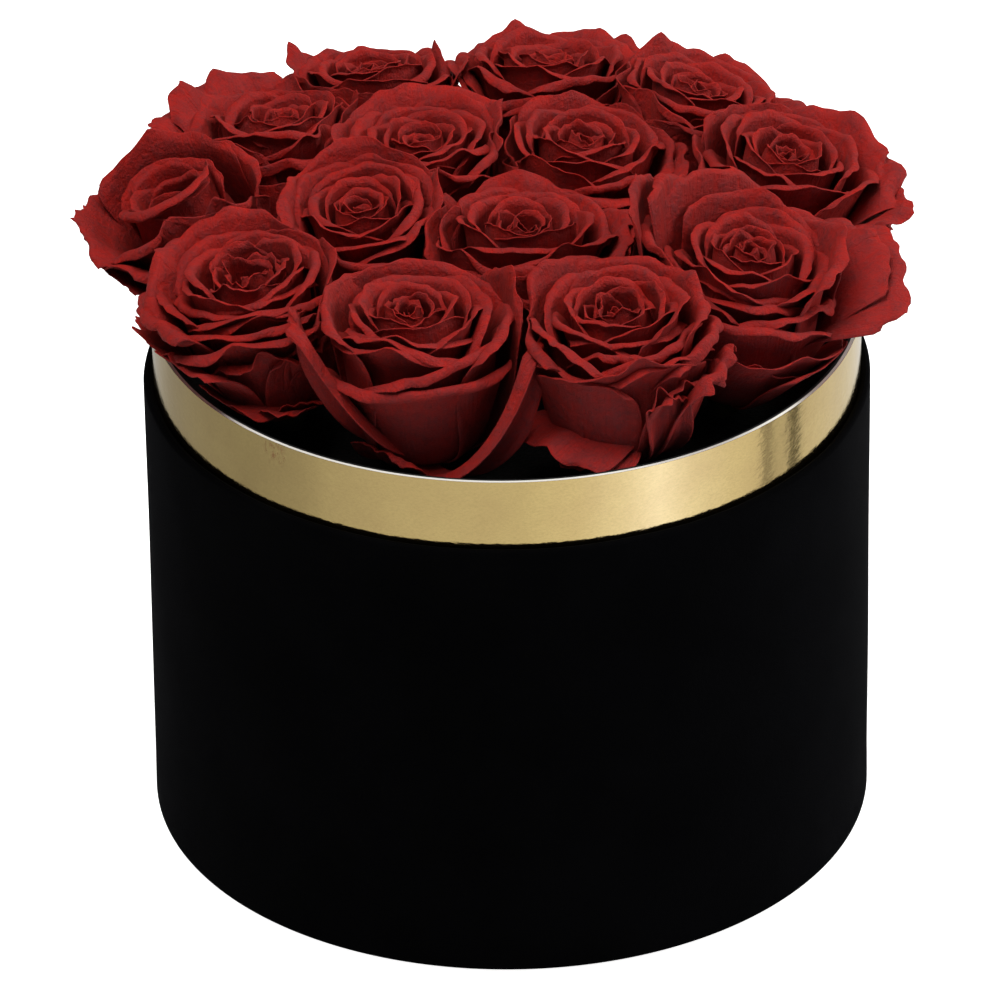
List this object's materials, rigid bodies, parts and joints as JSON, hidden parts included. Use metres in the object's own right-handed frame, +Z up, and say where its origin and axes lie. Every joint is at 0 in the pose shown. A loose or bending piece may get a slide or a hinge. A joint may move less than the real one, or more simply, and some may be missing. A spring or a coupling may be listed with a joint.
{
  "type": "flower box",
  "caption": "Round velvet-covered flower box with a gold neck, filled with preserved rose heads whose stems stand in dry foam.",
  "frame": {"origin": "centre of the face the box stands on", "axes": "+Z up the box's axis, front towards -Y, +X to the right seen from the front"},
  "size_m": [0.2485, 0.2335, 0.2114],
  "materials": {
    "velvet": "flocked velvet, deep matt black",
    "greyboard": "raw greyboard",
    "base_paper": "matt black paper",
    "neck_board": "white-faced board with a cut white edge",
    "gold_foil": "metallised gold foil paper, slightly rippled",
    "black_lining": "matt black paper",
    "flower_foam": "open-cell dry flower foam, near black",
    "stem": "preserved woody stem and hip, dull green",
    "heart_petal": "soft preserved petal, matt deep red",
    "petal": "soft preserved petal, matt deep red"
  },
  "bodies": {
    "box": {"base_paper": "base_paper", "velvet_wrap": "velvet", "outer_tube": "greyboard", "base_board": "greyboard", "neck_tube": "neck_board", "gold_foil_band": "gold_foil", "neck_lining": "black_lining", "floor_lining": "black_lining", "foam_lower_left": "flower_foam", "foam_lower_right": "flower_foam", "foam_upper_front": "flower_foam", "foam_upper_back": "flower_foam"},
    "rose_01": {"rose_01_stem": "stem", "rose_01_heart": "heart_petal", "rose_01_petals": "petal"},
    "rose_02": {"rose_02_stem": "stem", "rose_02_heart": "heart_petal", "rose_02_petals": "petal"},
    "rose_03": {"rose_03_stem": "stem", "rose_03_heart": "heart_petal", "rose_03_petals": "petal"},
    "rose_04": {"rose_04_stem": "stem", "rose_04_heart": "heart_petal", "rose_04_petals": "petal"},
    "rose_05": {"rose_05_stem": "stem", "rose_05_heart": "heart_petal", "rose_05_petals": "petal"},
    "rose_06": {"rose_06_stem": "stem", "rose_06_heart": "heart_petal", "rose_06_petals": "petal"},
    "rose_07": {"rose_07_stem": "stem", "rose_07_heart": "heart_petal", "rose_07_petals": "petal"},
    "rose_08": {"rose_08_stem": "stem", "rose_08_heart": "heart_petal", "rose_08_petals": "petal"},
    "rose_09": {"rose_09_stem": "stem", "rose_09_heart": "heart_petal", "rose_09_petals": "petal"},
    "rose_10": {"rose_10_stem": "stem", "rose_10_heart": "heart_petal", "rose_10_petals": "petal"},
    "rose_11": {"rose_11_stem": "stem", "rose_11_heart": "heart_petal", "rose_11_petals": "petal"},
    "rose_12": {"rose_12_stem": "stem", "rose_12_heart": "heart_petal", "rose_12_petals": "petal"},
    "rose_13": {"rose_13_stem": "stem", "rose_13_heart": "heart_petal", "rose_13_petals": "petal"},
    "rose_14": {"rose_14_stem": "stem", "rose_14_heart": "heart_petal", "rose_14_petals": "petal"}
  },
  "joints": [
    {"name": "rose_01_draw", "type": "slide", "parent": "box", "child": "rose_01", "axis": [-0.2329, -0.0179, 0.9723], "range_m": [0, 0.04]},
    {"name": "rose_02_draw", "type": "slide", "parent": "box", "child": "rose_02", "axis": [0, 0, 1], "range_m": [0, 0.04]},
    {"name": "rose_03_draw", "type": "slide", "parent": "box", "child": "rose_03", "axis": [0, 0, 1], "range_m": [0, 0.04]},
    {"name": "rose_04_draw", "type": "slide", "parent": "box", "child": "rose_04", "axis": [0.215, 0, 0.9766], "range_m": [0, 0.04]},
    {"name": "rose_05_draw", "type": "slide", "parent": "box", "child": "rose_05", "axis": [-0.3046, 0.0538, 0.951], "range_m": [0, 0.04]},
    {"name": "rose_06_draw", "type": "slide", "parent": "box", "child": "rose_06", "axis": [-0.1075, 0, 0.9942], "range_m": [0, 0.04]},
    {"name": "rose_07_draw", "type": "slide", "parent": "box", "child": "rose_07", "axis": [0, 0, 1], "range_m": [0, 0.04]},
    {"name": "rose_08_draw", "type": "slide", "parent": "box", "child": "rose_08", "axis": [0.3046, 0.0896, 0.9483], "range_m": [0, 0.04]},
    {"name": "rose_09_draw", "type": "slide", "parent": "box", "child": "rose_09", "axis": [-0.2329, 0.1792, 0.9558], "range_m": [0, 0.04]},
    {"name": "rose_10_draw", "type": "slide", "parent": "box", "child": "rose_10", "axis": [-0.0538, 0.1075, 0.9927], "range_m": [0, 0.04]},
    {"name": "rose_11_draw", "type": "slide", "parent": "box", "child": "rose_11", "axis": [0.0717, 0.1075, 0.9916], "range_m": [0, 0.04]},
    {"name": "rose_12_draw", "type": "slide", "parent": "box", "child": "rose_12", "axis": [0.1971, 0.2509, 0.9477], "range_m": [0, 0.04]},
    {"name": "rose_13_draw", "type": "slide", "parent": "box", "child": "rose_13", "axis": [-0.1254, 0.2867, 0.9498], "range_m": [0, 0.04]},
    {"name": "rose_14_draw", "type": "slide", "parent": "box", "child": "rose_14", "axis": [0.0358, 0.3046, 0.9518], "range_m": [0, 0.04]}
  ]
}
